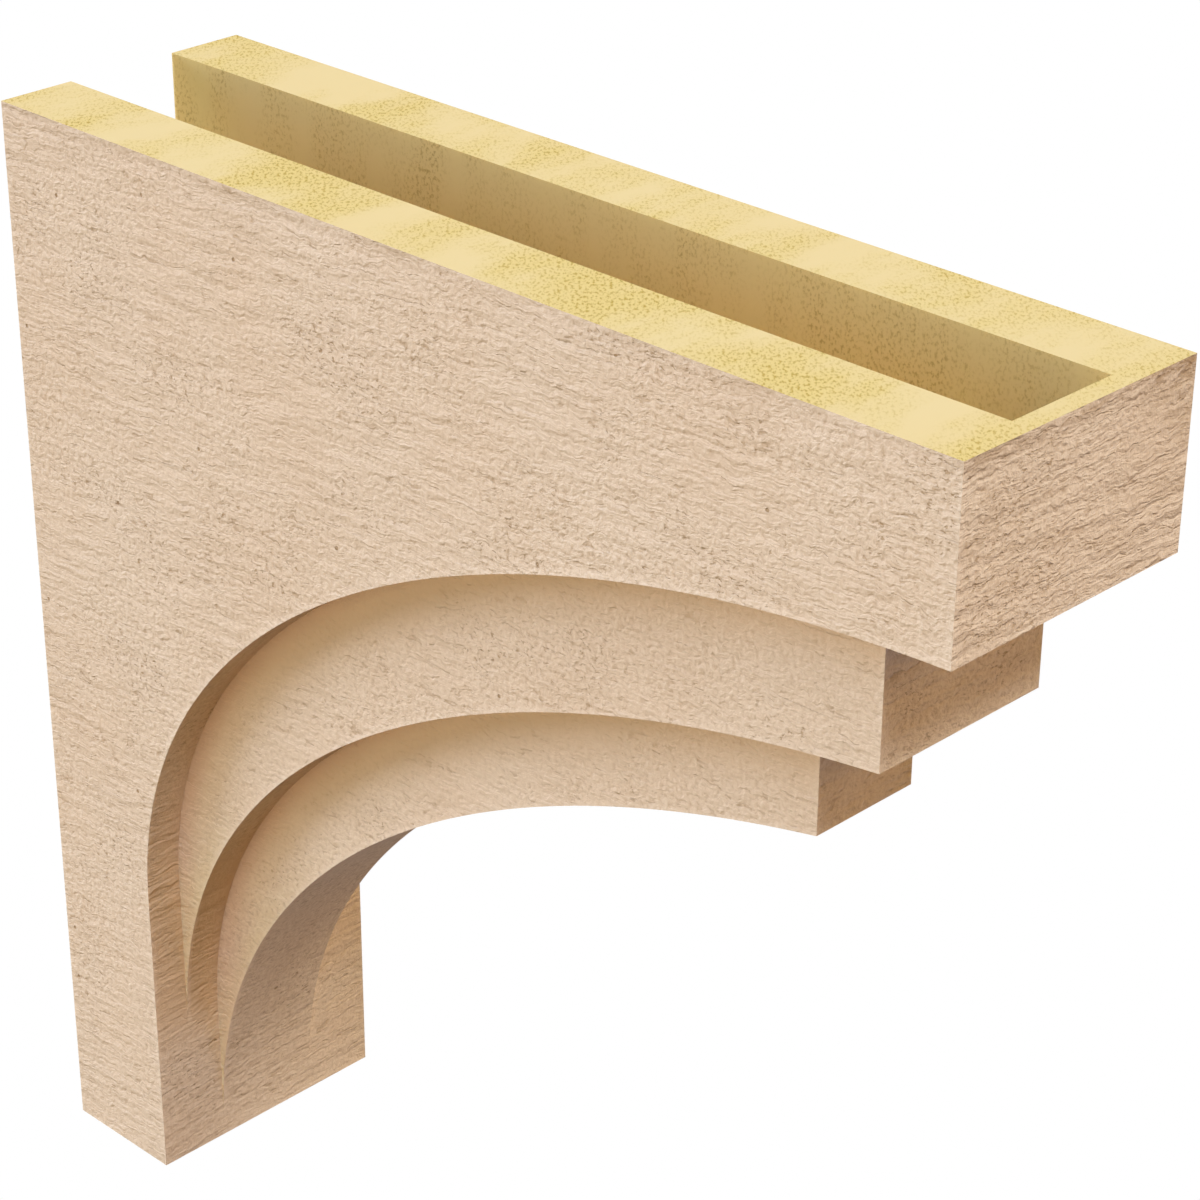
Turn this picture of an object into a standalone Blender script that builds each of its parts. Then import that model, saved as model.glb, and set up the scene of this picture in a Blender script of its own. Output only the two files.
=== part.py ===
"""A tiered arch corbel, moulded in rigid foam with a tan primed skin.

The corbel hangs on a wall. X runs across its width, -Y points out from the wall, and +Z is up.
The origin lies on the back face, midway across, at the middle height of the closed foot.
"""

import math

import bpy

INCH = 0.0254

# Overall size
WIDTH = 6.0 * INCH
PROJECTION = 24.0 * INCH
HEIGHT = 24.0 * INCH

# The leg that stands against the wall
LEG_DEPTH = 3.0 * INCH

# The three tiers step in by one seventh of the width on each side, and back by two inches
SIDE_STEP = WIDTH / 7
FRONT_STEP = 2.0 * INCH
OUTER_DROP = 3.6 * INCH
MIDDLE_DROP = 6.6 * INCH
INNER_DROP = 9.0 * INCH

# How far below the top each arch springs from the leg, and the rise of its ellipse over its run
OUTER_SPRING = 16.95 * INCH
MIDDLE_SPRING = 20.55 * INCH
INNER_SPRING = 23.55 * INCH
ARCH_FLATNESS = 0.6035
ARCH_STEP_DEG = 3.0

# The channel that is open at the top and the back
CHANNEL_WIDTH = WIDTH - 4 * SIDE_STEP
CHANNEL_FLOOR = 1.0 * INCH
FRONT_WALL = 0.43 * INCH
FOOT_WALL = 1.0 * INCH
CUT_CLEARANCE = 1.0 * INCH

# How deep the middle and inner tiers are let into the block that carries them
EMBED = 0.6 * INCH

TOP_Z = HEIGHT - FOOT_WALL / 2
FOOT_Z = -FOOT_WALL / 2
SMOOTH_DEG = 20.0
FACE_ALIGNED = 0.99

SKIN = 0
RAW_FOAM = 1


def clear_scene():
    for item in list(bpy.data.objects):
        bpy.data.objects.remove(item, do_unlink=True)


def make_material(name, colour, roughness):
    material = bpy.data.materials.new(name)
    material.use_nodes = True
    shader = material.node_tree.nodes["Principled BSDF"]
    shader.inputs["Base Color"].default_value = (*colour, 1.0)
    shader.inputs["Roughness"].default_value = roughness
    shader.inputs["Metallic"].default_value = 0.0
    return material


def arch_ellipse(front, drop, spring):
    """Centre and half axes of the ellipse that leaves the leg upright and ends at the tier's lower front corner.

    Its centre is level with the springing. The run follows from the corner, because the ellipse passes
    through it: run = (reach^2 + (rise / flatness)^2) / (2 * reach).
    """
    reach = front - LEG_DEPTH
    rise = spring - drop
    run = (reach**2 + (rise / ARCH_FLATNESS) ** 2) / (2 * reach)
    return LEG_DEPTH + run, TOP_Z - spring, run, run * ARCH_FLATNESS


def arch_points(ellipse, front, last_z=None):
    """Points (out, up) along an ellipse, from the springing to where it reaches the front."""
    centre_out, centre_up, run, rise = ellipse
    end = math.acos((centre_out - front) / run)
    steps = math.ceil(math.degrees(end) / ARCH_STEP_DEG)
    points = []
    for i in range(steps + 1):
        angle = end * i / steps
        points.append((centre_out - run * math.cos(angle), centre_up + rise * math.sin(angle)))
    if last_z is not None:
        points[-1] = (front, last_z)
    return points


def extrude_profile(name, profile, width, materials):
    """A prism: the profile of (out, up) points, carried across the width and centred on X = 0."""
    count = len(profile)
    verts = [(side * width / 2, -out, up) for side in (-1, 1) for out, up in profile]
    faces = [tuple(range(count)), tuple(reversed(range(count, 2 * count)))]
    faces += [(i, i + count, (i + 1) % count + count, (i + 1) % count) for i in range(count)]
    mesh = bpy.data.meshes.new(name)
    mesh.from_pydata(verts, [], faces)
    for material in materials:
        mesh.materials.append(material)
    mesh.validate()
    mesh.update()
    mesh.shade_smooth()
    mesh.set_sharp_from_angle(angle=math.radians(SMOOTH_DEG))
    prism = bpy.data.objects.new(name, mesh)
    bpy.context.scene.collection.objects.link(prism)
    return prism


def hide_helper(helper):
    helper.hide_render = True
    helper.display_type = "WIRE"


def combine(target, helper, operation):
    modifier = target.modifiers.new(helper.name, "BOOLEAN")
    modifier.operation = operation
    modifier.object = helper
    modifier.solver = "EXACT"
    hide_helper(helper)


def make_block(materials):
    """The widest tier: top, front, arch and leg in one prism. Its top and back are bare foam."""
    ellipse = arch_ellipse(PROJECTION, OUTER_DROP, OUTER_SPRING)
    arch = arch_points(ellipse, PROJECTION, TOP_Z - OUTER_DROP)
    profile = [(0, TOP_Z), (0, FOOT_Z), (LEG_DEPTH, FOOT_Z), *arch, (PROJECTION, TOP_Z)]
    block = extrude_profile("corbel", profile, WIDTH, materials)
    for face in block.data.polygons:
        if face.normal.z > FACE_ALIGNED or face.normal.y > FACE_ALIGNED:
            face.material_index = RAW_FOAM
    return block


def make_tier(name, front, drop, spring, width, materials):
    """A narrower arch under the block. Its hidden top and back lie inside the block."""
    arch = arch_points(arch_ellipse(front, drop, spring), front, TOP_Z - drop)
    inside_out = LEG_DEPTH - EMBED
    inside_up = TOP_Z - OUTER_DROP + EMBED
    profile = [(inside_out, inside_up), (inside_out, arch[0][1]), *arch, (front, inside_up)]
    return extrude_profile(name, profile, width, materials)


def make_channel(materials):
    """The cutter for the channel. Its floor runs parallel to the widest tier's arch."""
    centre_out, centre_up, run, rise = arch_ellipse(PROJECTION, OUTER_DROP, OUTER_SPRING)
    front = PROJECTION - FRONT_WALL
    offset = (centre_out, centre_up, run + CHANNEL_FLOOR, rise + CHANNEL_FLOOR)
    floor = arch_points(offset, front)
    back_out = -CUT_CLEARANCE
    above = TOP_Z + CUT_CLEARANCE
    inner_foot = FOOT_Z + FOOT_WALL
    profile = [
        (back_out, above),
        (back_out, inner_foot),
        (floor[0][0], inner_foot),
        *floor,
        (front, above),
    ]
    channel = extrude_profile("channel_cutter", profile, CHANNEL_WIDTH, materials)
    for face in channel.data.polygons:
        face.material_index = RAW_FOAM
    return channel


def main():
    clear_scene()
    materials = [
        make_material("tan_primed_skin", (0.70, 0.55, 0.42), 0.75),
        make_material("raw_foam", (0.84, 0.70, 0.36), 0.9),
    ]
    corbel = make_block(materials)
    middle = make_tier(
        "middle_tier",
        PROJECTION - FRONT_STEP,
        MIDDLE_DROP,
        MIDDLE_SPRING,
        WIDTH - 2 * SIDE_STEP,
        materials,
    )
    inner = make_tier(
        "inner_tier",
        PROJECTION - 2 * FRONT_STEP,
        INNER_DROP,
        INNER_SPRING,
        WIDTH - 4 * SIDE_STEP,
        materials,
    )
    combine(corbel, middle, "UNION")
    combine(corbel, inner, "UNION")
    combine(corbel, make_channel(materials), "DIFFERENCE")


main()
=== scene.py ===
import math

import bpy
import bmesh
import numpy as np
from mathutils import Matrix, Vector


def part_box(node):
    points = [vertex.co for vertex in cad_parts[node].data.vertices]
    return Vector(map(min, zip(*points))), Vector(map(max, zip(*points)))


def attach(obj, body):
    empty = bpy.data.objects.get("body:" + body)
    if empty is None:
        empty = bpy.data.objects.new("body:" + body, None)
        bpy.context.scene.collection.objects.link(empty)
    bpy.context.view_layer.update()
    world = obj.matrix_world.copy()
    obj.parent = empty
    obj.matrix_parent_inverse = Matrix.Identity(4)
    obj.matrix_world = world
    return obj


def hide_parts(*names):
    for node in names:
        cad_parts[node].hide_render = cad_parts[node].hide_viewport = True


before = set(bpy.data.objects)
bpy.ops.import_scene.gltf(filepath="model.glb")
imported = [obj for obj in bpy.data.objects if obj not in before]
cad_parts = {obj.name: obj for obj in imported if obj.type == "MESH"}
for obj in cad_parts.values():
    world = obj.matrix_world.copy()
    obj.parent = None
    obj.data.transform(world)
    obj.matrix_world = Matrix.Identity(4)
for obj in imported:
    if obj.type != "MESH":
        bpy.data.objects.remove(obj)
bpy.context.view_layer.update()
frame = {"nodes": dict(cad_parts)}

print("frame loaded:", ", ".join(frame["nodes"]))

inch = 0.0254
millimetre = 0.001
farOff = 1.0  # a gap in metres at which an edge no longer counts
pastAll = 9.0  # a length in metres that no path reaches
skinSlot, foamSlot, channelSlot = 0, 1, 2  # the order of the corbel's materials
lowCorner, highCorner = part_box("corbel")

# The corbel's shape. From here on, out is the distance from the wall and up is the height.
corbelShape = {
    "halfWidth": (highCorner[0] - lowCorner[0]) / 2,
    "widthParts": (7, 5, 3),  # the tiers' widths, in sevenths of the widest
    "projection": highCorner[1] - lowCorner[1],
    "top": highCorner[2],
    "foot": lowCorner[2],
    "legDepth": 3.0 * inch,
    "frontStep": 2.0 * inch,
    "drops": (3.6 * inch, 6.6 * inch, 9.0 * inch),  # each tier's lower front corner, below the top
    "springs": (16.95 * inch, 20.55 * inch, 23.55 * inch),  # where each arch leaves the leg, below the top
    "archFlatness": 0.6035,
    "channelFloor": 1.0 * inch,
    "frontWall": 0.43 * inch,
    "footWall": 1.0 * inch,
    "riseStep": 0.0022,  # mesh spacing up the sides
    "runStep": 0.0050,  # mesh spacing along the flat part of an arch
    "acrossStep": 0.0024,
    "sideColumns": 84,
    "legColumns": 14,
    "crescentRows": 24,
    "channelCells": 60,
    "arcSamples": 4000,  # steps along an arch in which its pace is summed up
    "seamGap": 0.002,  # the gap to an outer edge along the seam of a side's two grids
    "weldGap": 0.00002,
    "sharpAngle": 35.0,
}

# The moulded rough-sawn relief that is mesh. It is cut into the faces and never stands proud of them.
sawnRelief = {
    "furrowDepth": 0.00055,
    "hollowDepth": 0.00035,
    "edgeFade": 0.0040,
    "seed": 11,
    "layers": 2,  # of value noise in each kind of mark
    "waver": (9, 14, 0),  # marks to the metre along and across the grain, and the step from the seed
    "furrow": (18, 105, 10),
    "hollow": (14, 22, 20),
    "patch": (11, 17, 30),
    "waverReach": 0.012,
    "furrowContrast": 2.2,  # contrast of the furrows and of the patches, and how much is cut off below
    "furrowCut": 0.6,
    "patchContrast": 2.4,
    "patchCut": 0.7,
    "patchLeast": 0.15,
    "sidePatch": 1,  # numbers of the sides' and flat faces' patches of grain, so that no two look alike
    "leftSidePatch": 2,
    "middlePatch": 3,
    "innerPatch": 5,
    "leftPatches": 10,  # how many numbers further on the crescents of the -X side are
    "wallPatch": 30,
    "rimPatch": 34,
    "backPatch": 36,
    "footPatch": 38,
    "sideStretch": 1.7,  # how far apart the patches are, and where the other faces start along the grain
    "frontStretch": 40,
    "tierStretch": 3,
    "soffitStretch": 14,
    "channelStretch": 50,
    "flatStretch": 1.9,
    "flatForce": 0.5,
    "sideCrowding": 1.35,  # how much shorter the marks are on the sides and the fronts than on the soffits
    "frontCrowding": 1.20,
    "sideLean": -0.05,  # how far the grain falls to a step outwards on the sides
    "frontLean": -0.03,  # how far it climbs to a step towards +X on the fronts, and on the soffits
    "soffitLean": 0.08,
    "sideForce": 0.80,  # how strong the relief is on each kind of face, here and in the skin's bump
    "crescentForce": 0.70,
    "frontForce": 0.82,
    "soffitForce": 0.74,
    "recessReach": 0.038,  # how far the painted shade reaches down from the corner over a crescent
    "cuspWidth": 0.054,  # how wide a crescent is where the painted light of its thin end stops
    "stripReach": 0.08,  # how far up the strips beside the crescents the painted shade goes
    "stripStart": 0.03,  # how far below the crescents' ends it starts, and the lengths of its two slopes
    "stripRise": 0.05,
    "stripFade": 0.10,
}

latticeSize = 256  # cells after which value noise repeats
layerShift = (17.3, 9.1)  # how far each of its layers is moved from the last
crossShift = 0.7  # how far a shader's noise is moved across the grain for each step along it


# Value noise: a lattice of random values, blended smoothly between its neighbours
def valueNoise(x, y, seed):
    table = np.random.default_rng(seed).random((latticeSize, latticeSize))
    cellX, cellY = np.floor(x).astype(int), np.floor(y).astype(int)
    partX, partY = x - cellX, y - cellY
    easeX, easeY = partX * partX * (3 - 2 * partX), partY * partY * (3 - 2 * partY)
    left, right = cellX % latticeSize, (cellX + 1) % latticeSize
    low, high = cellY % latticeSize, (cellY + 1) % latticeSize
    lowRow = table[left, low] * (1 - easeX) + table[right, low] * easeX
    highRow = table[left, high] * (1 - easeX) + table[right, high] * easeX
    return lowRow * (1 - easeY) + highRow * easeY


# Layers of value noise, each twice as fine and half as strong as the last, brought back to 0..1
def layeredNoise(x, y, layers, seed):
    total, reach = 0.0, 0.0
    shiftX, shiftY = layerShift
    for i in range(layers):
        total = total + valueNoise(x * 2**i + shiftX * i, y * 2**i + shiftY * i, seed + i) / 2**i
        reach += 1 / 2**i
    return total / reach


# Depth of the relief at (along, across) the grain, in metres: furrows that run along the grain and waver,
# in rougher and smoother patches, over shallow hollows a few centimetres wide
def sawnDepth(along, across, settings):
    def marks(kind, shift=0.0):
        perAlong, perAcross, seedStep = settings[kind]
        x, y = along * perAlong, (across + shift) * perAcross
        return layeredNoise(x, y, settings["layers"], settings["seed"] + seedStep)

    def contrasted(kind, values, least=0.0):
        return np.clip(values * settings[kind + "Contrast"] - settings[kind + "Cut"], least, 1)

    waver = settings["waverReach"] * (marks("waver") - 0.5)
    furrow = contrasted("furrow", marks("furrow", waver))
    patch = contrasted("patch", marks("patch"), settings["patchLeast"])
    return settings["furrowDepth"] * patch * furrow + settings["hollowDepth"] * marks("hollow")


# Gathers patches of points and faces. Each corner of a face keeps its grain (along, across and the force of
# its relief), its gap to an outer edge, where a highlight is painted, and its painted shade (light if below
# 0).
class Surface:
    def __init__(self):
        self.points, self.grain, self.edgeAndShade = [], [], []
        self.corners, self.sizes, self.slots = [], [], []
        self.count = 0

    def addPoints(self, points, grain, edgeAndShade):
        start = self.count
        self.points.append(points.reshape(-1, 3))
        self.grain.append(grain.reshape(-1, 3))
        self.edgeAndShade.append(np.broadcast_to(edgeAndShade, (*points.shape[:-1], 2)).reshape(-1, 2))
        self.count += len(self.points[-1])
        return start

    def addFaces(self, faces, slot):
        self.corners.append(faces.reshape(-1))
        self.sizes.append(np.full(len(faces), faces.shape[1]))
        self.slots.append(np.full(len(faces), slot))

    # A grid of points: each cell is one face
    def addGrid(self, points, grain, edgeAndShade, slot):
        rows, columns = points.shape[:2]
        index = np.arange(rows * columns).reshape(rows, columns) + self.addPoints(points, grain, edgeAndShade)
        cells = np.stack([index[:-1, :-1], index[:-1, 1:], index[1:, 1:], index[1:, :-1]], -1)
        self.addFaces(cells.reshape(-1, 4), slot)

    # One flat face inside an outline
    def addFlat(self, outline, grain, slot):
        index = np.arange(len(outline)) + self.addPoints(outline, grain, (farOff, 0.0))
        self.addFaces(index[None, :], slot)

    # Triangles between two rows that start and end together but differ in number. Each edge of one row meets
    # the point that the other row has reached by the edge's middle.
    def addZip(self, rowA, grainA, rowB, grainB, edgeAndShade, slot):
        startA = self.addPoints(rowA, grainA, edgeAndShade)
        startB = self.addPoints(rowB, grainB, edgeAndShade)
        middleA = -(rowA[1:, 1] + rowA[:-1, 1]) / 2
        middleB = -(rowB[1:, 1] + rowB[:-1, 1]) / 2
        edgesA, edgesB = np.arange(len(middleA)) + startA, np.arange(len(middleB)) + startB
        reachedB = np.searchsorted(middleB, middleA) + startB
        reachedA = np.searchsorted(middleA, middleB, side="right") + startA
        self.addFaces(np.stack([edgesA, edgesA + 1, reachedB], -1), slot)
        self.addFaces(np.stack([edgesB + 1, edgesB, reachedA], -1), slot)


def spaced(start, end, step):
    return np.linspace(start, end, max(2, round(abs(end - start) / step) + 1))


def joined(*rows):
    return np.concatenate([rows[0], *[row[1:] for row in rows[1:]]])


def upright(out, ups):
    return np.stack([np.full(len(ups), out), ups], -1)


# Length walked along a row of (out, up) points
def walked(path):
    return np.concatenate([[0], np.cumsum(np.hypot(*np.diff(path, axis=0).T))])


def place(across, out, up):
    across, out, up = np.broadcast_arrays(across, out, up)
    return np.stack([across, -out, up], -1)


# Puts values that are given point by point, or once for all points, side by side
def columnsOf(*values):
    return np.stack(np.broadcast_arrays(*values), -1)


# A smooth step: 0 at the start, 1 from reach on
def eased(gap, reach):
    share = np.clip(gap / reach, 0, 1)
    return share * share * (3 - 2 * share)


def frontOf(shape, tier):
    return shape["projection"] - shape["frontStep"] * tier


# Half the width of each tier, the widest first
def halfWidths(shape):
    return [shape["halfWidth"] * part / shape["widthParts"][0] for part in shape["widthParts"]]


# The ellipse of a tier's arch, upright where it leaves the leg and through the tier's lower front corner:
# run = (reach squared + (rise / flatness) squared) / (2 reach)
def archEllipse(shape, tier, growth=0.0):
    reach = frontOf(shape, tier) - shape["legDepth"]
    rise = shape["springs"][tier] - shape["drops"][tier]
    run = (reach**2 + (rise / shape["archFlatness"]) ** 2) / (2 * reach)
    centreOut = shape["legDepth"] + run
    centreUp = shape["top"] - shape["springs"][tier]
    return centreOut, centreUp, run + growth, run * shape["archFlatness"] + growth


# Points on an ellipse, out = centre - run cos(angle) and up = centre + rise sin(angle), spaced so that
# no step climbs more than riseStep or goes out more than runStep
def archPoints(shape, ellipse, startOut, endOut, count=None):
    centreOut, centreUp, run, rise = ellipse
    start = math.acos(min(1.0, (centreOut - startOut) / run))
    end = math.acos((centreOut - endOut) / run)
    fine = np.linspace(start, end, shape["arcSamples"])
    pace = np.hypot(rise * np.cos(fine) / shape["riseStep"], run * np.sin(fine) / shape["runStep"])
    steps = np.concatenate([[0], np.cumsum((pace[1:] + pace[:-1]) / 2 * np.diff(fine))])
    count = count or math.ceil(steps[-1])
    angle = np.interp(np.linspace(0, steps[-1], count + 1), steps, fine)
    return np.stack([centreOut - run * np.cos(angle), centreUp + rise * np.sin(angle)], -1)


# How far a point outside the ellipse is from it, to first order: (F - 1) / gradient of F,
# where F = (out / run) squared + (up / rise) squared from the centre
def ellipseGap(ellipse, out, up):
    centreOut, centreUp, run, rise = ellipse
    x, y = (out - centreOut) / run, (up - centreUp) / rise
    return (x * x + y * y - 1) / (2 * np.hypot(x / run, y / rise))


def nearest(*gaps):
    gap = gaps[0]
    for other in gaps[1:]:
        gap = np.minimum(gap, other)
    return np.maximum(gap, 0)


# Depth of relief at a grain, faded to nothing at the edges of the patch
def faded(grain, gap, settings):
    depth = sawnDepth(grain[..., 0], grain[..., 1], settings)
    return depth * grain[..., 2] * eased(gap, settings["edgeFade"])


# A side's grain runs out from the wall. Each patch has its own stretch of grain.
def sideGrain(points, patch, relief, force):
    out, up = -points[..., 1], points[..., 2]
    along = patch * relief["sideStretch"] + out * relief["sideCrowding"]
    return columnsOf(along, up + out * relief["sideLean"], relief[force])


def addOuterSide(surface, shape, relief, side, legUps, arch):
    halfWidth, leg, top, foot = shape["halfWidth"], shape["legDepth"], shape["top"], shape["foot"]
    ellipse = archEllipse(shape, 0)
    frontUps = spaced(top - shape["drops"][0], top, shape["riseStep"])
    rowUps = joined(arch[1:, 1], frontUps)
    rowOuts = joined(arch[1:, 0], np.full(len(frontUps), shape["projection"]))
    share = np.linspace(0, 1, shape["sideColumns"] + 1)
    legShare = np.linspace(0, 1, shape["legColumns"] + 1)
    patch = relief["sidePatch"] if side > 0 else relief["leftSidePatch"]

    def dressed(out, up):
        points = place(side * halfWidth, out, up)
        grain = sideGrain(points, patch, relief, "sideForce")
        archGap = np.where(up > arch[0, 1], ellipseGap(ellipse, out, up), leg - out)
        gap = nearest(out, top - up, up - foot, shape["projection"] - out, archGap)
        points[..., 0] -= side * faded(grain, gap, relief)
        return points, grain, columnsOf(gap, 0.0)

    upper = dressed(share[None, :] * rowOuts[:, None], rowUps[:, None] + 0 * share[None, :])
    lower = dressed(legShare[None, :] * leg + 0 * legUps[:, None], legUps[:, None] + 0 * legShare[None, :])
    surface.addGrid(*upper, skinSlot)
    surface.addGrid(*lower, skinSlot)
    seamEdgeAndShade = (shape["seamGap"], 0.0)
    surface.addZip(lower[0][-1], lower[1][-1], upper[0][0], upper[1][0], seamEdgeAndShade, skinSlot)
    return place(side * halfWidth, share * shape["projection"], top), np.concatenate([legUps, rowUps])


# The crescent between an arch and the next one in, ruled from point to point of the two. Its painted shade is
# 1 in the inner corner under the arch, and -1, painted light, where it thins out down the leg.
def addCrescent(surface, shape, relief, side, halfWidth, upper, lower, patch):
    share = np.linspace(0, 1, shape["crescentRows"] + 1)[:, None, None]
    path = upper[None] * (1 - share) + lower[None] * share
    width = np.hypot(*(upper - lower).T)[None, :]
    corner = share[..., 0] * width
    arris = nearest((1 - share[..., 0]) * width, path[..., 0].max() - path[..., 0])
    broad = eased(width, relief["cuspWidth"])
    # Painted shade, dark in the corner under the arch, and painted light, pale where the crescent is narrow
    # down the leg
    paintedShade = (1 - eased(corner, relief["recessReach"])) * broad - (1 - broad)
    points = place(side * halfWidth, path[..., 0], path[..., 1])
    patch += 0 if side > 0 else relief["leftPatches"]
    grain = sideGrain(points, patch, relief, "crescentForce")
    points[..., 0] -= side * faded(grain, nearest(arris, corner), relief)
    surface.addGrid(points, grain, columnsOf(arris, paintedShade), skinSlot)


# A front face: the grain runs across it. The fronts of the inner tiers have an inner corner on top.
def addFront(surface, shape, relief, tier, acrosses, ups):
    points = place(acrosses[None, :], frontOf(shape, tier), ups[:, None])
    sloped = points[..., 2] - points[..., 0] * relief["frontLean"]
    along = points[..., 0] * relief["frontCrowding"] + relief["frontStretch"] + relief["tierStretch"] * tier
    grain = columnsOf(along, sloped, relief["frontForce"])
    under = ups[-1] - points[..., 2]
    arris = nearest(acrosses[-1] - np.abs(points[..., 0]), points[..., 2] - ups[0])
    gap = nearest(arris, under)
    points[..., 1] += faded(grain, gap, relief)
    surface.addGrid(points, grain, columnsOf(gap if tier == 0 else arris, 0.0), skinSlot)


# Gaps on a tier's soffit, which runs from the foot up the leg and along the arch to the front. Its outer
# edges are its two ends and its sides, from where they leave the leg. Its inner corner runs along the next
# tier, from where that leaves the leg, and round that tier's front.
def soffitGaps(soffit, across, length):
    beyond = np.abs(across)
    sides = np.hypot(soffit["halfWidth"] - beyond, np.maximum(soffit["leaves"] - length, 0))
    arris = nearest(sides, length, soffit["end"] - length)
    inside = np.maximum(beyond - soffit["nextHalfWidth"], 0)
    past = np.maximum(np.maximum(soffit["nextLeaves"] - length, length - soffit["nextEnd"]), 0)
    return arris, np.hypot(inside, past)


# A strip of a soffit, swept across the width along a path. Its relief is cut at right angles to the path
# and its grain runs across. All strips share one stretch of grain, so the leg's front has no steps. Beside
# the thin ends of the crescents the strips have painted shade, a darker colour.
def addStrip(surface, relief, path, acrosses, begin, soffit):
    length = walked(path)
    tangent = np.gradient(path, length, axis=0)
    tangent /= np.hypot(*tangent.T)[:, None]
    across, length = acrosses[None, :], length[:, None] + begin
    leaning = length - across * relief["soffitLean"]
    grain = columnsOf(across + relief["soffitStretch"], leaning, relief["soffitForce"])
    arris, corner = soffitGaps(soffit, across, length)
    depth = faded(grain, nearest(arris, corner), relief)
    out = path[:, 0][:, None] - depth * tangent[:, 1][:, None]
    up = path[:, 1][:, None] + depth * tangent[:, 0][:, None]
    # Painted shade on the strip beside the thin ends of the crescents
    beside = length - soffit["strips"]
    paintedShade = eased(beside + relief["stripStart"], relief["stripRise"])
    paintedShade = paintedShade * (1 - eased(beside - relief["stripReach"], relief["stripFade"]))
    surface.addGrid(place(across, out, up), grain, columnsOf(arris, paintedShade), skinSlot)


# A flat face of bare foam or skin: its grain is two of its own coordinates
def addOutline(surface, relief, outline, axes, patch, slot):
    along = outline[:, axes[0]] + patch * relief["flatStretch"]
    surface.addFlat(outline, columnsOf(along, outline[:, axes[1]], relief["flatForce"]), slot)


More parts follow.
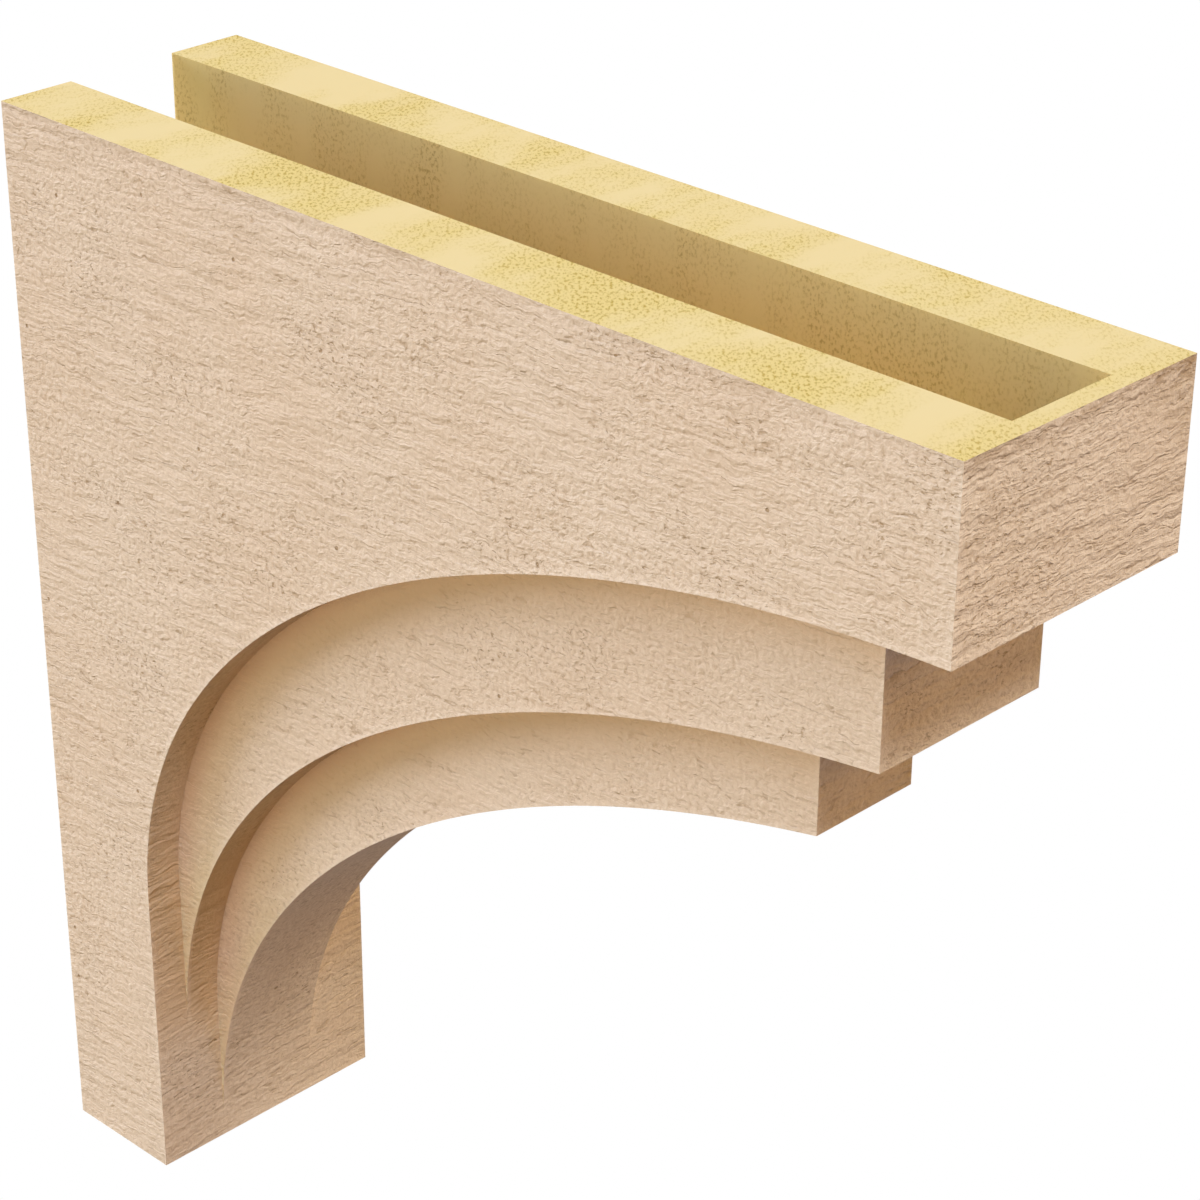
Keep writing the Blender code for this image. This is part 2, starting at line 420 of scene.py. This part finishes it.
def buildCorbel(shape, relief):
    leg, top, foot = shape["legDepth"], shape["top"], shape["foot"]
    projection = shape["projection"]
    widths = halfWidths(shape)
    springUps = [top - spring for spring in shape["springs"]]
    legLow = spaced(foot, springUps[2], shape["riseStep"])
    legMiddle = spaced(springUps[2], springUps[1], shape["riseStep"])
    legHigh = spaced(springUps[1], springUps[0], shape["riseStep"])
    legUps = joined(legLow, legMiddle, legHigh)
    ellipses = [archEllipse(shape, tier) for tier in range(3)]
    fronts = [frontOf(shape, tier) for tier in range(3)]

    # Every arch is split where the next tier's front meets it. It has as many points as the arch above it
    # and the stretch of leg between the two.
    outerArch = archPoints(shape, ellipses[0], leg, fronts[1])
    outerEnd = archPoints(shape, ellipses[0], fronts[1], fronts[0])
    middleEnd = archPoints(shape, ellipses[1], fronts[2], fronts[1])
    middleCount = len(legHigh) + len(outerArch) - len(middleEnd) - 1
    middleArch = archPoints(shape, ellipses[1], leg, fronts[2], middleCount)
    innerCount = len(legMiddle) + len(middleArch) - 2
    innerArch = archPoints(shape, ellipses[2], leg, fronts[2], innerCount)

    acrossOuter = spaced(widths[1], widths[0], shape["acrossStep"])
    acrossMiddle = spaced(widths[2], widths[1], shape["acrossStep"])
    acrossInner = spaced(-widths[2], widths[2], shape["acrossStep"])
    middleRow = joined(-acrossMiddle[::-1], acrossInner, acrossMiddle)
    fullRow = joined(-acrossOuter[::-1], middleRow, acrossOuter)

    # The soffits' paths, and where each one's edges and corners start and end along it
    paths = [
        joined(upright(leg, legUps), outerArch),
        joined(upright(leg, joined(legLow, legMiddle)), middleArch),
        joined(upright(leg, legLow), innerArch),
    ]
    lengths = [walked(path)[-1] for path in paths]
    ends = [lengths[0] + walked(outerEnd)[-1], lengths[1] + walked(middleEnd)[-1], lengths[2]]
    leaves = [0.0, springUps[1] - foot, springUps[2] - foot]
    soffits = [
        {
            "halfWidth": widths[tier],
            "leaves": leaves[tier],
            "end": ends[tier],
            "nextHalfWidth": [*widths, 0.0][tier + 1],
            "nextLeaves": leaves[tier + 1] if tier < 2 else pastAll,
            "nextEnd": lengths[tier],
            "strips": leaves[1] if tier < 2 else pastAll,
        }
        for tier in range(3)
    ]

    surface = Surface()
    tops, backs = [], []
    for side in (1, -1):
        rim, ups = addOuterSide(surface, shape, relief, side, legUps, joined(outerArch, outerEnd))
        tops.append(rim)
        backs.append(place(side * widths[0], 0, ups))
        upper, lower = joined(upright(leg, legHigh), outerArch), joined(middleArch, middleEnd)
        addCrescent(surface, shape, relief, side, widths[1], upper, lower, relief["middlePatch"])
        upper = joined(upright(leg, legMiddle), middleArch)
        addCrescent(surface, shape, relief, side, widths[2], upper, innerArch, relief["innerPatch"])
        addStrip(surface, relief, paths[0], side * acrossOuter, 0.0, soffits[0])
        addStrip(surface, relief, paths[1], side * acrossMiddle, 0.0, soffits[1])
    addStrip(surface, relief, paths[2], acrossInner, 0.0, soffits[2])
    addStrip(surface, relief, outerEnd, fullRow, lengths[0], soffits[0])
    addStrip(surface, relief, middleEnd, middleRow, lengths[1], soffits[1])

    frontRows = [fullRow, middleRow, acrossInner]
    frontTops = [top, outerArch[-1, 1], middleArch[-1, 1]]
    for tier in range(3):
        low = top - shape["drops"][tier]
        if tier == 0:
            ups = spaced(low, top, shape["riseStep"])
        else:
            ups = np.linspace(low, frontTops[tier], shape["crescentRows"] + 1)
        addFront(surface, shape, relief, tier, frontRows[tier], ups)

    # The channel: its floor runs parallel to the widest arch, and its walls are flat
    half = widths[2]
    inner = foot + shape["footWall"]
    deep = archEllipse(shape, 0, shape["channelFloor"])
    front = projection - shape["frontWall"]
    floorArch = archPoints(shape, deep, deep[0] - deep[2], front, shape["channelCells"])
    floor = np.concatenate([[[0, inner], [floorArch[0, 0], inner]], floorArch, [[front, top]]])
    length = walked(floor)
    halves = np.array([-half, half])
    grain = columnsOf(length[:, None], halves[None, :] + relief["channelStretch"], relief["flatForce"])
    surface.addGrid(place(halves[None, :], floor[:, :1], floor[:, 1:]), grain, (farOff, 0.0), channelSlot)
    for side in (1, -1):
        wall = place(side * half, *np.concatenate([floor, [[0, top]]]).T)
        addOutline(surface, relief, wall, (2, 1), relief["wallPatch"] + side, channelSlot)

    # The top rim, the back and the underside of the foot are flat
    rowTop = place(fullRow[::-1], projection, top)
    mouth = place(np.array([-half, -half, half, half]), np.array([0, front, front, 0]), top)
    rim = np.concatenate([tops[0], rowTop[1:-1], tops[1][::-1], mouth])
    addOutline(surface, relief, rim, (0, 1), relief["rimPatch"], foamSlot)
    notch = place(np.array([half, half, -half, -half]), 0, np.array([top, inner, inner, top]))
    back = np.concatenate([backs[0], notch, backs[1][::-1]])
    addOutline(surface, relief, back, (2, 0), relief["backPatch"], foamSlot)
    footOuts = np.linspace(0, leg, shape["legColumns"] + 1)
    footOutline = np.concatenate([
        place(widths[0], footOuts, foot),
        place(fullRow[::-1][1:-1], leg, foot),
        place(-widths[0], footOuts[::-1], foot),
    ])
    addOutline(surface, relief, footOutline, (0, 1), relief["footPatch"], skinSlot)
    return surface


# Puts a gathered surface into a mesh, merges the seams between its patches and turns its faces outwards
def makeMesh(name, surface, materials, shape):
    corners = np.concatenate(surface.corners).astype(np.int32)
    sizes = np.concatenate(surface.sizes)
    points = np.concatenate(surface.points)
    grain = np.concatenate(surface.grain)[corners].astype(np.float32)
    edgeAndShade = np.concatenate(surface.edgeAndShade)[corners].astype(np.float32)
    mesh = bpy.data.meshes.new(name)
    mesh.vertices.add(len(points))
    mesh.vertices.foreach_set("co", points.astype(np.float32).ravel())
    mesh.loops.add(len(corners))
    mesh.loops.foreach_set("vertex_index", corners)
    mesh.polygons.add(len(sizes))
    mesh.polygons.foreach_set("loop_start", np.concatenate([[0], np.cumsum(sizes)[:-1]]).astype(np.int32))
    mesh.polygons.foreach_set("material_index", np.concatenate(surface.slots).astype(np.int32))
    mesh.uv_layers.new(name="grain").uv.foreach_set("vector", grain[:, :2].ravel())
    for attribute, values in (("force", grain[:, 2]), ("arrisGap", edgeAndShade[:, 0]), ("paintedShade", edgeAndShade[:, 1])):
        mesh.attributes.new(attribute, "FLOAT", "CORNER").data.foreach_set("value", values.copy())
    mesh.update(calc_edges=True)
    for material in materials:
        mesh.materials.append(material)
    welded = bmesh.new()
    welded.from_mesh(mesh)
    bmesh.ops.remove_doubles(welded, verts=welded.verts[:], dist=shape["weldGap"])
    bmesh.ops.recalc_face_normals(welded, faces=welded.faces[:])
    openEdges = sum(1 for edge in welded.edges if len(edge.link_faces) != 2)
    welded.to_mesh(mesh)
    welded.free()
    mesh.shade_smooth()
    mesh.set_sharp_from_angle(angle=math.radians(shape["sharpAngle"]))
    piece = bpy.data.objects.new(name, mesh)
    bpy.context.scene.collection.objects.link(piece)
    mesh.calc_loop_triangles()
    print(f"{name}: {len(mesh.loop_triangles)} triangles, {openEdges} open edges")
    return piece


# Adds nodes to one tree. A node takes its settings first and then the values or links of its sockets.
class Shades:
    def __init__(self, tree):
        self.tree = tree
        tree.nodes.clear()

    def add(self, kind, settings=None, sockets=None, output=0):
        node = self.tree.nodes.new(kind)
        for name, setting in (settings or {}).items():
            setattr(node, name, setting)
        for name, value in (sockets or {}).items():
            if isinstance(value, Socket):
                self.tree.links.new(value.socket, node.inputs[name])
            else:
                node.inputs[name].default_value = value
        return Socket(self, node.outputs[output]) if len(node.outputs) else node

    # A colour that goes from first to second as share goes from 0 to 1
    def blend(self, share, first, second):
        first, second = [c if isinstance(c, Socket) else (*c, 1.0) for c in (first, second)]
        return self.add("ShaderNodeMix", {"data_type": "RGBA"}, {0: share, 6: first, 7: second}, 2)

    def vector(self, x, y):
        return self.add("ShaderNodeCombineXYZ", None, {0: x, 1: y})

    # A number that each corner of the mesh carries
    def carried(self, name):
        return self.add("ShaderNodeAttribute", {"attribute_name": name}, None, 2)

    # Flat noise about 0.5, with so many marks to the metre along and across the grain
    def noise(self, along, across, perAlong, perAcross, detail=2.0, roughness=0.5, shift=0.0):
        at = self.vector(along * perAlong + shift, across * perAcross + shift * crossShift)
        sockets = {"Vector": at, "Scale": 1.0, "Detail": detail, "Roughness": roughness}
        return self.add("ShaderNodeTexNoise", {"noise_dimensions": "2D"}, sockets)

    # Distance to the nearest of the points strewn over a flat grid of cells
    def cells(self, along, across, perAlong, perAcross, shift):
        at = self.vector(along * perAlong + shift, across * perAcross + shift * crossShift)
        sockets = {"Vector": at, "Scale": 1.0}
        return self.add("ShaderNodeTexVoronoi", {"voronoi_dimensions": "2D"}, sockets)


# A value in a shader: sums written on it become Math nodes
class Socket:
    def __init__(self, shades, socket):
        self.shades, self.socket = shades, socket

    # Another output of the same node
    def other(self, output):
        return Socket(self.shades, self.socket.node.outputs[output])

    def math(self, operation, *values):
        sockets = {i: value for i, value in enumerate(values)}
        return self.shades.add("ShaderNodeMath", {"operation": operation}, sockets)

    def __add__(self, other):
        return self.math("ADD", self, other)

    def __radd__(self, other):
        return self.math("ADD", other, self)

    def __sub__(self, other):
        return self.math("SUBTRACT", self, other)

    def __rsub__(self, other):
        return self.math("SUBTRACT", other, self)

    def __mul__(self, other):
        return self.math("MULTIPLY", self, other)

    def __abs__(self):
        return self.math("ABSOLUTE", self)

    # From 0 at low to 1 at high, with soft ends
    def ease(self, low, high):
        sockets = {"Value": self, "From Min": low, "From Max": high}
        return self.shades.add("ShaderNodeMapRange", {"interpolation_type": "SMOOTHSTEP"}, sockets)


# A Principled material. Its paint function gives colour, roughness and height in millimetres.
def makeMaterial(name, paint, finish):
    material = bpy.data.materials.new(name)
    material.use_nodes = True
    shades = Shades(material.node_tree)
    colour, roughness, height = paint(shades, finish)
    normal = shades.add("ShaderNodeBump", None, {"Height": height, "Distance": millimetre, "Strength": 1.0})
    sockets = {"Base Color": colour, "Roughness": roughness, "Normal": normal}
    shader = shades.add("ShaderNodeBsdfPrincipled", None, sockets | {"Specular IOR Level": finish["gloss"]})
    shades.add("ShaderNodeOutputMaterial", None, {"Surface": shader})
    return material


def grainOf(shades):
    grain = shades.add("ShaderNodeUVMap", {"uv_map": "grain"})
    along = shades.add("ShaderNodeSeparateXYZ", None, {0: grain})
    return along, along.other(1)


# The tan primed skin, moulded as rough-sawn wood, with painted shade and light. Heights and depths are in
# millimetres.
skinFinish = {
    "colour": (0.825, 0.612, 0.422),
    "cloud": (0.850, 0.650, 0.463),
    "pale": (0.940, 0.745, 0.550),
    # The brown of grooves and breaks, which is also laid as painted shade in the hollows
    "grooveBrownAndShade": (0.450, 0.270, 0.125),
    # Painted shade for the corners under the arches and the strips beside the crescents, then painted light
    "paintedShade": (0.760, 0.525, 0.317),
    "cuspPaintedLight": (0.965, 0.805, 0.500),  # painted light, where a crescent thins out down the leg
    "rim": highCorner[2],
    "leanReach": 0.005,
    "waverReach": 0.004,
    "strokeHeight": 0.85,
    "crumbHeight": 0.55,
    "rowHeight": 2.80,
    "smoothForce": 0.45,  # the share of the relief's force that the smoothest patches keep
    "roughRows": 0.40,  # how much weaker the rows are in the roughest patches, and in the front's corner
    "cornerRows": 0.70,
    "frontRows": 0.10,  # how much stronger they are on the widest block's front
    "pebbleHeight": 0.20,
    "tornDepth": 0.30,
    "crackDepth": 0.32,
    "scratchDepth": 0.20,
    "pitDepth": 0.60,
    "cornerDepth": 1.20,  # how deep the front's top corner on the +X side is torn
    "cornerTears": 0.80,
    "cornerShare": 0.14,  # the share of brown there, and the share that each kind of mark gives its colour
    "streakShare": 0.05,
    "frontStreaks": 5.5,  # how much stronger the brown streaks are on the front
    # The strokes' and crumbs' tops get a painted highlight and their hollows painted shade
    "topShare": 0.44,
    "crumbTops": 0.60,  # how much the crumbs' tops count beside the strokes'
    "strokeShare": 0.34,
    "crumbShare": 0.15,
    "tornShare": 0.85,
    "crackShare": 0.36,
    "scratchShare": 0.25,
    "pitShare": 0.80,
    "brokeShare": 0.50,
    "sideBroke": 0.35,  # the share of it that the rim's other edges have beside the front's
    # A painted highlight along the outer edges
    "edgeHighlightShare": 0.40,
    "smoothHighlight": 0.30,  # the share of it that the smoothest patches keep
    "roughness": 0.62,
    "addedRoughness": 0.20,
    "gloss": 0.22,
}

# Its noises: marks to the metre along and across the grain, detail, roughness, shift
skinMarks = {
    "lean": (12, 15, 1.5, 0.5, 3.1),
    "waver": (90, 110, 2.0, 0.5, 4.7),
    "rough": (9, 13, 2.0, 0.55, 7.7),
    "strokes": (220, 430, 2.0, 0.56, 1.3),
    "crumbs": (290, 390, 2.0, 0.54, 3.3),
    "rows": (16, 140, 3.0, 0.64, 5.9),
    "cluster": (15, 22, 2.0, 0.5, 11.3),
    "torn": (190, 520, 2.0, 0.6, 15.1),
    "trail": (6, 50, 2.0, 0.6, 17.9),
    "broken": (100, 200, 2.0, 0.6, 27.1),
    "line": (3, 40, 0.0, 0.5, 21.7),
    "where": (14, 30, 1.0, 0.5, 25.3),
    "ragged": (75, 190, 3.0, 0.65, 35.1),
    "cloud": (7, 9, 3.0, 0.55, 31.9),
    "streaks": (26, 84, 3.0, 0.6, 41.3),
    "pebbles": (210, 380, 9.1),  # the last two are cells, which have neither detail nor roughness
    "pits": (22, 30, 0.0),
}

# Where a value starts to count and where it counts in full: noises, shares, and distances in metres
skinRanges = {
    "rough": (0.36, 0.62),
    "torn": (0.62, 0.69),
    "cluster": (0.46, 0.62),
    "trail": (0.004, 0.022),
    "broken": (0.52, 0.62),
    "line": (0.001, 0.007),
    "where": (0.66, 0.70),
    "pitReach": (0.02, 0.04),
    "pitChance": (0.95, 0.96),
    "front": (-lowCorner[1] - 0.004, -lowCorner[1] - 0.002),
    "rimReach": (0.0010, 0.0085),
    "ragged": (0.40, 0.54),
    "cornerAcross": (0.015, 0.080),
    "cornerDown": (0.004, 0.045),
    "cornerRagged": (0.38, 0.60),
    "cloud": (0.25, 0.75),
    "streaks": (0.46, 0.70),
    "strokeTops": (0.46, 0.62),
    "crumbTops": (0.48, 0.62),
    "strokeHollows": (0.30, 0.43),
    "crumbHollows": (0.32, 0.43),
    "paintedEdgeHighlight": (0.0008, 0.0035),
}


def paintSkin(shades, finish):
    along, straight = grainOf(shades)
    force, arris, paintedShade = [shades.carried(name) for name in ("force", "arrisGap", "paintedShade")]

    def noise(kind, at=straight):
        return shades.noise(along, at, *skinMarks[kind])

    def share(kind, value):
        return value.ease(*skinRanges[kind])

    # From the named share to 1 as value goes from 0 to 1
    def rising(least, value):
        return value * (1 - finish[least]) + finish[least]

    # The strokes lean to and fro about the grain
    lean, waver = noise("lean") - 0.5, noise("waver") - 0.5
    across = straight + lean * finish["leanReach"] + waver * finish["waverReach"]

    # Short crumpled strokes all over, drawn out into rows in the smoother patches and broken up into
    # pebbles in the rougher ones
    rough = share("rough", noise("rough"))
    strokes, crumbs, rows = noise("strokes", across), noise("crumbs", across), noise("rows", across)
    pebbles = 1 - shades.cells(along, across, *skinMarks["pebbles"])

    # Torn pockets, short and dark, come in clusters
    torn = share("torn", noise("torn", across)) * share("cluster", noise("cluster"))

    # Cracks run along the grain where a slow noise crosses its middle value, and are broken into
    # short lengths
    trail = abs(noise("trail", across) - 0.5)
    crack = (1 - share("trail", trail)) * share("broken", noise("broken"))

    # Long thin scratches lie where another slow noise does
    line = abs(noise("line") - 0.5)
    scratch = (1 - share("line", line)) * share("where", noise("where"))

    # Small pits, one here and there
    distance = shades.cells(along, straight, *skinMarks["pits"])
    chance = shades.add("ShaderNodeSeparateColor", None, {0: distance.other("Color")})
    pit = (1 - share("pitReach", distance)) * share("pitChance", chance)

    # The skin breaks off in crumbs along the sawn rim, most of all on the front
    position = shades.add("ShaderNodeTexCoord", None, None, "Object")
    spot = shades.add("ShaderNodeSeparateXYZ", None, {0: position})
    under = finish["rim"] - spot.other(2)
    front = share("front", 0 - spot.other(1))
    ragged = noise("ragged")
    broke = (1 - share("rimReach", under)) * share("ragged", ragged) * rising("sideBroke", front)

    # The front is rougher and browner towards its top corner on the +X side
    corner = share("cornerAcross", spot) * (1 - share("cornerDown", under)) * front
    broke = broke + corner * share("cornerRagged", ragged) * finish["cornerTears"]

    relief = force * rising("smoothForce", rough)
    height = relief * (strokes * finish["strokeHeight"] - torn * finish["tornDepth"])
    height = height + force * crumbs * (corner + 1) * finish["crumbHeight"]
    drawn = (1 - rough * finish["roughRows"]) * (1 - corner * finish["cornerRows"])
    drawn = drawn * (front * finish["frontRows"] + 1)
    height = height + force * rows * drawn * finish["rowHeight"]
    height = height + force * pebbles * rough * finish["pebbleHeight"]
    height = height - scratch * finish["scratchDepth"] - pit * finish["pitDepth"]
    height = height - force * crack * finish["crackDepth"] - corner * ragged * finish["cornerDepth"]

    # Each colour is laid over the one before
    colour = shades.blend(share("cloud", noise("cloud")), finish["colour"], finish["cloud"])
    streaks = share("streaks", noise("streaks", across)) * (front * finish["frontStreaks"] + 1)
    colour = shades.blend(streaks * finish["streakShare"] * force, colour, finish["grooveBrownAndShade"])
    # Painted highlight on the tops of the strokes and crumbs
    tops = share("strokeTops", strokes) * relief + share("crumbTops", crumbs) * force * finish["crumbTops"]
    colour = shades.blend(tops * finish["topShare"], colour, finish["pale"])
    # Painted shade in their hollows
    hollow = (1 - share("strokeHollows", strokes)) * relief * finish["strokeShare"]
    hollow = hollow + (1 - share("crumbHollows", crumbs)) * force * finish["crumbShare"]
    colour = shades.blend(hollow, colour, finish["grooveBrownAndShade"])
    breaks = torn * relief * finish["tornShare"] + crack * finish["crackShare"]
    breaks = breaks + scratch * finish["scratchShare"]
    colour = shades.blend(breaks, colour, finish["grooveBrownAndShade"])
    bare = pit * finish["pitShare"] + broke * finish["brokeShare"] + corner * finish["cornerShare"]
    colour = shades.blend(bare, colour, finish["grooveBrownAndShade"])
    # Painted shade under the arches and beside the crescents' thin ends, and painted light where the
    # crescents thin out
    colour = shades.blend(paintedShade, colour, finish["paintedShade"])
    colour = shades.blend(0 - paintedShade, colour, finish["cuspPaintedLight"])
    # A painted highlight along the outer edges, weaker in the smoother patches
    paintedEdgeHighlight = (1 - share("paintedEdgeHighlight", arris)) * rising("smoothHighlight", rough)
    colour = shades.blend(paintedEdgeHighlight * finish["edgeHighlightShare"], colour, finish["pale"])
    return colour, finish["roughness"] + strokes * finish["addedRoughness"], height


# The bare foam of the sawn rim and the back, and of the channel's moulded walls, which are darker with
# painted shade
foamFinish = {
    "colour": (0.980, 0.745, 0.355),
    "pale": (0.985, 0.770, 0.390),
    "stain": (0.905, 0.680, 0.230),
    "stainShare": 0.70,
    "speck": (0.600, 0.380, 0.060),
    "speckShare": 0.90,
    "speckMarks": (260, 470, 3.0, 0.65, 4.4),  # marks to the metre along and across, detail, roughness, shift
    "speckTurn": 1.0,  # 1 lays the specks' grain at 45 degrees, 0 along the saw's
    "speckRange": (0.49, 0.66),
    "clusterMarks": (8, 17, 4.0, 0.62, 5.9),
    "clusterRange": (0.36, 0.70),
    "sawMarks": (18, 420, 2.0, 0.5, 2.2),
    "cloudMarks": (9, 12, 2.0, 0.5, 6.6),
    "sawDepth": 0.05,
    "grainHeight": 0.20,
    "roughness": 0.75,
    "addedRoughness": 0.10,
    "gloss": 0.15,
}
# Its colours are darker, painted shade for the channel's deep walls. Its finer brown specks are the foam's
# own.
channelFinishAndShade = foamFinish | {
    "colour": (0.945, 0.712, 0.275),
    "pale": (0.955, 0.724, 0.288),
    "stain": (0.800, 0.560, 0.200),
    "stainShare": 0.10,
    "speck": (0.510, 0.290, 0.045),
    "speckShare": 0.70,
    "speckMarks": (420, 560, 3.0, 0.65, 4.4),
    "speckTurn": 0.0,
    "speckRange": (0.47, 0.70),
    "clusterMarks": (12, 38, 4.0, 0.62, 5.9),
    "clusterRange": (0.30, 0.76),
    "sawDepth": 0.03,
    "grainHeight": 0.04,
}


def paintFoam(shades, finish):
    along, across = grainOf(shades)
    saw = shades.noise(along, across, *finish["sawMarks"])
    cluster = shades.noise(along, across, *finish["clusterMarks"]).ease(*finish["clusterRange"])
    turned = [along + across * finish["speckTurn"], across - along * finish["speckTurn"]]
    grains = shades.noise(*turned, *finish["speckMarks"])
    specks = grains.ease(*finish["speckRange"]) * cluster
    height = saw * finish["sawDepth"] - grains * cluster * finish["grainHeight"]
    cloud = shades.noise(along, across, *finish["cloudMarks"])
    colour = shades.blend(cloud, finish["colour"], finish["pale"])
    colour = shades.blend(cluster * finish["stainShare"], colour, finish["stain"])
    colour = shades.blend(specks * finish["speckShare"], colour, finish["speck"])
    return colour, finish["roughness"] + saw * finish["addedRoughness"], height


corbelBody = makeMesh(
    "corbelBody",
    buildCorbel(corbelShape, sawnRelief),
    [
        makeMaterial("tanPrimedSkin", paintSkin, skinFinish),
        makeMaterial("rawFoam", paintFoam, foamFinish),
        makeMaterial("channelFoamAndShade", paintFoam, channelFinishAndShade),
    ],
    corbelShape,
)
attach(corbelBody, "root")
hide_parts("corbel")

# The light: wide soft suns, cool from above and from behind, warm from the left and the front, and a harder
# one from the front. A sun's azimuth is the side it comes from, turned from -Y towards +X. Its light is what
# it gives to a white face turned straight to it, where 1 is full white.
studio = {
    "backdrop": (1.0, 1.0, 1.0),
    "suns": {
        "leftBackSun": {"azimuth": -150, "elevation": 10, "softness": 30, "light": (0.51, 0.57, 0.74)},
        "leftSun": {"azimuth": -120, "elevation": -10, "softness": 30, "light": (0.19, 0.21, 0.16)},
        "warmLeftSun": {"azimuth": -90, "elevation": -10, "softness": 30, "light": (0.35, 0.29, 0.24)},
        "coolTopSun": {"azimuth": -30, "elevation": 60, "softness": 30, "light": (0.45, 0.53, 0.68)},
        "warmFrontSun": {"azimuth": 0, "elevation": 30, "softness": 30, "light": (0.29, 0.19, 0.06)},
        "lowRightSun": {"azimuth": 60, "elevation": -30, "softness": 30, "light": (0.26, 0.24, 0.27)},
        "frontSun": {"azimuth": 15, "elevation": 55, "softness": 12, "light": (0.34, 0.36, 0.36)},
        "rightSun": {"azimuth": 95, "elevation": -2, "softness": 30, "light": (0.50, 0.48, 0.45)},
    },
    "floorDrop": 1.2,
    "floorSide": 60.0,
    "scrimGap": 0.0005,
    "scrimPasses": (0.62, 0.55, 0.45),
}


def addWorld(settings):
    world = bpy.data.worlds.new("studio")
    bpy.context.scene.world = world
    world.use_nodes = True
    shades = Shades(world.node_tree)
    seen = shades.add("ShaderNodeLightPath", None, None, "Is Camera Ray")
    light = shades.blend(seen, (0.0, 0.0, 0.0), settings["backdrop"])
    background = shades.add("ShaderNodeBackground", None, {"Color": light, "Strength": 1.0})
    shades.add("ShaderNodeOutputWorld", None, {"Surface": background})


def addSun(name, settings):
    light = bpy.data.lights.new(name, "SUN")
    strength = max(settings["light"])
    light.color = [part / strength for part in settings["light"]]
    light.energy = strength * math.pi
    light.angle = math.radians(settings["softness"])
    sun = bpy.data.objects.new(name, light)
    azimuth, elevation = math.radians(settings["azimuth"]), math.radians(settings["elevation"])
    level = math.cos(elevation)
    source = Vector((math.sin(azimuth) * level, -math.cos(azimuth) * level, math.sin(elevation)))
    sun.rotation_euler = source.to_track_quat("Z", "Y").to_euler()
    bpy.context.scene.collection.objects.link(sun)


# A flat four-cornered stage piece
def addCard(name, corners):
    mesh = bpy.data.meshes.new(name)
    mesh.from_pydata(corners, [], [(0, 1, 2, 3)])
    card = bpy.data.objects.new(name, mesh)
    bpy.context.scene.collection.objects.link(card)
    return card


# The pale floor lies far below and gives no light, so that it lays no bounce or shadow on the corbel
def addFloor(settings):
    half, level = settings["floorSide"] / 2, lowCorner[2] - settings["floorDrop"]
    corners = [(-half, -half, level), (half, -half, level), (half, half, level), (-half, half, level)]
    floor = addCard("studioFloor", corners)
    material = bpy.data.materials.new("paleFloor")
    material.use_nodes = True
    shades = Shades(material.node_tree)
    glow = shades.add("ShaderNodeEmission", None, {"Color": (*settings["backdrop"], 1.0), "Strength": 1.0})
    shades.add("ShaderNodeOutputMaterial", None, {"Surface": glow})
    floor.data.materials.append(material)
    floor.visible_diffuse = floor.visible_glossy = floor.visible_shadow = False


# A scrim across the channel's open back halves the light from behind on its walls. Only shadows see it.
def addScrim(settings, shape):
    half, inset = halfWidths(shape)[2] - settings["scrimGap"], -settings["scrimGap"]
    low, high = shape["foot"] + shape["footWall"], shape["top"]
    corners = [(-half, inset, low), (half, inset, low), (half, inset, high), (-half, inset, high)]
    scrim = addCard("lightScrim", corners)
    material = bpy.data.materials.new("scrimCloth")
    material.use_nodes = True
    shades = Shades(material.node_tree)
    cloth = shades.add("ShaderNodeBsdfTransparent", None, {"Color": (*settings["scrimPasses"], 1.0)})
    shades.add("ShaderNodeOutputMaterial", None, {"Surface": cloth})
    scrim.data.materials.append(material)
    scrim.visible_camera = scrim.visible_diffuse = scrim.visible_glossy = False


addWorld(studio)
for sunName, sunSettings in studio["suns"].items():
    addSun(sunName, sunSettings)
addFloor(studio)
addScrim(studio, corbelShape)
print("light, floor and scrim ready")

# The photograph's camera: angles in degrees, the yaw turned from +Y towards +X and the pitch downwards
cameraView = {
    "place": (-1.02245, -1.33157, 1.13382),
    "yaw": 45.251,
    "pitch": 28.45,
    "roll": -0.085,
    "lens": 101.116,
    "sensor": 36.0,
    "shift": (0.030, 0.080),
}


def addCamera(settings):
    data = bpy.data.cameras.new("camera")
    data.lens, data.sensor_width = settings["lens"], settings["sensor"]
    data.shift_x, data.shift_y = settings["shift"]
    camera = bpy.data.objects.new("camera", data)
    yaw, pitch, roll = [math.radians(settings[name]) for name in ("yaw", "pitch", "roll")]
    level = math.cos(pitch)
    forward = Vector((math.sin(yaw) * level, math.cos(yaw) * level, -math.sin(pitch)))
    right = forward.cross(Vector((0, 0, 1))).normalized()
    down = forward.cross(right)
    across = right * math.cos(roll) + down * math.sin(roll)
    below = down * math.cos(roll) - right * math.sin(roll)
    axes = Matrix((across, -below, -forward)).transposed()
    camera.matrix_world = Matrix.Translation(settings["place"]) @ axes.to_4x4()
    bpy.context.scene.collection.objects.link(camera)
    bpy.context.scene.camera = camera


addCamera(cameraView)
bpy.context.scene.view_settings.view_transform = "Standard"
print("camera ready")
